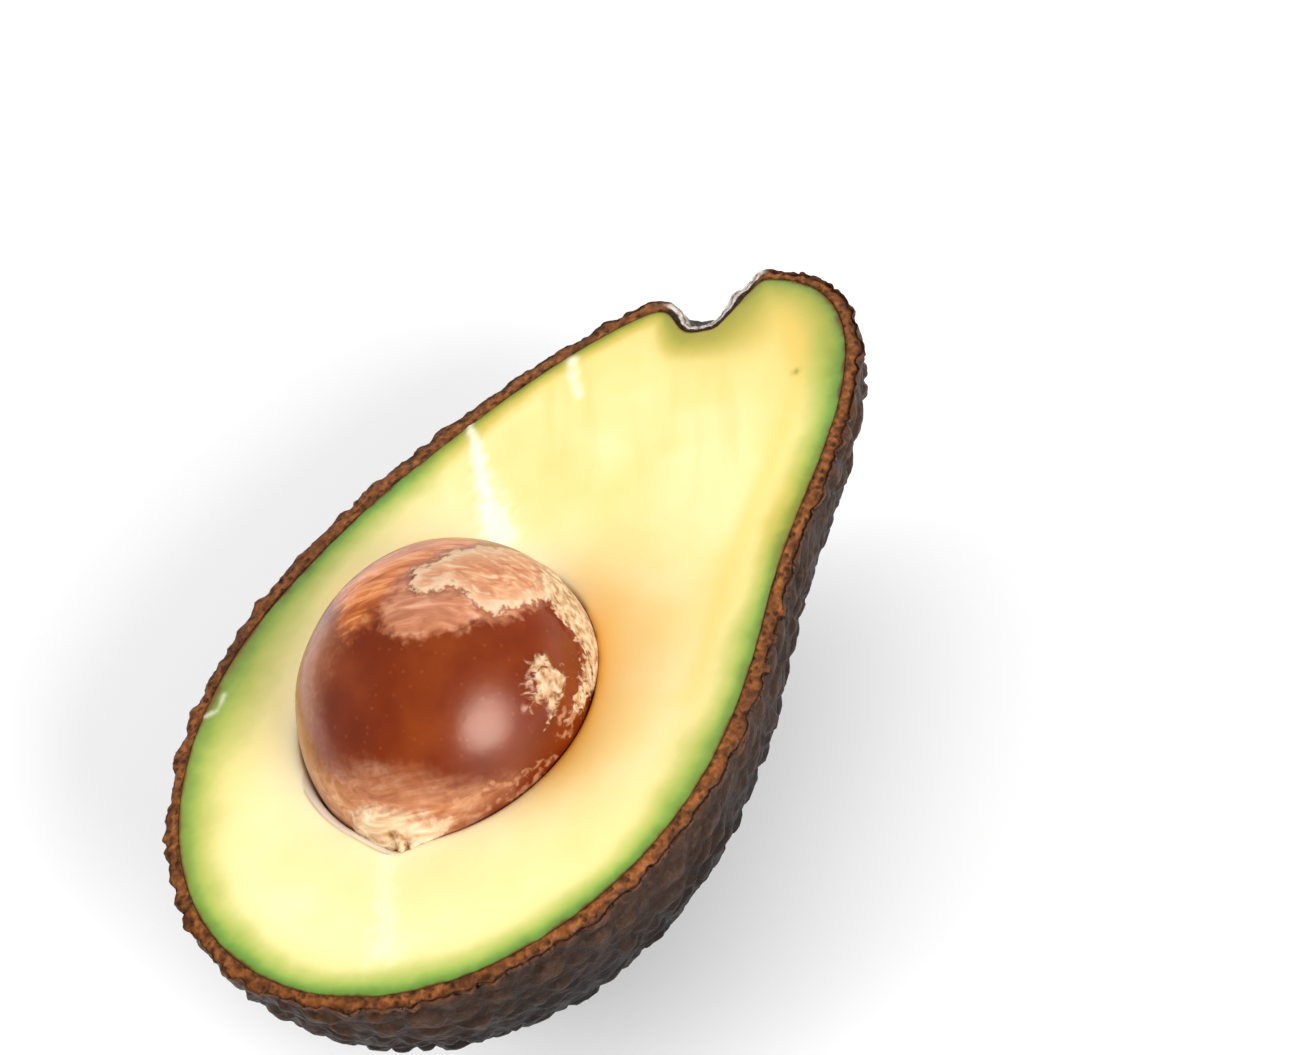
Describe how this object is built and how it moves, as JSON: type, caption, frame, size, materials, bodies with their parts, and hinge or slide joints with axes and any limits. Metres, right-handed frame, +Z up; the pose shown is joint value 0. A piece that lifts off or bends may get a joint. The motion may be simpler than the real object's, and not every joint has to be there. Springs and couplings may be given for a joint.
{
  "type": "avocado half",
  "caption": "Halved avocado with pebbled skin shell, cut flesh and its whole seed in the socket, resting cut side up on a small flat spot.",
  "frame": {"origin": "middle of the small flat spot of skin that the half rests on", "axes": "+X along the fruit from the blunt end to the neck, +Z up, square to the level cut face"},
  "size_m": [0.1159, 0.0705, 0.05],
  "materials": {
    "pebbled_skin": "dark brown pebbled rind, semi-matt, reddish brown where cut",
    "ripe_flesh": "moist pale yellow flesh turning green under the skin",
    "seed_coat": "glossy chestnut brown with torn tan papery coat"
  },
  "bodies": {
    "root": {"skin": "pebbled_skin", "flesh": "ripe_flesh", "seed": "seed_coat"}
  },
  "joints": []
}
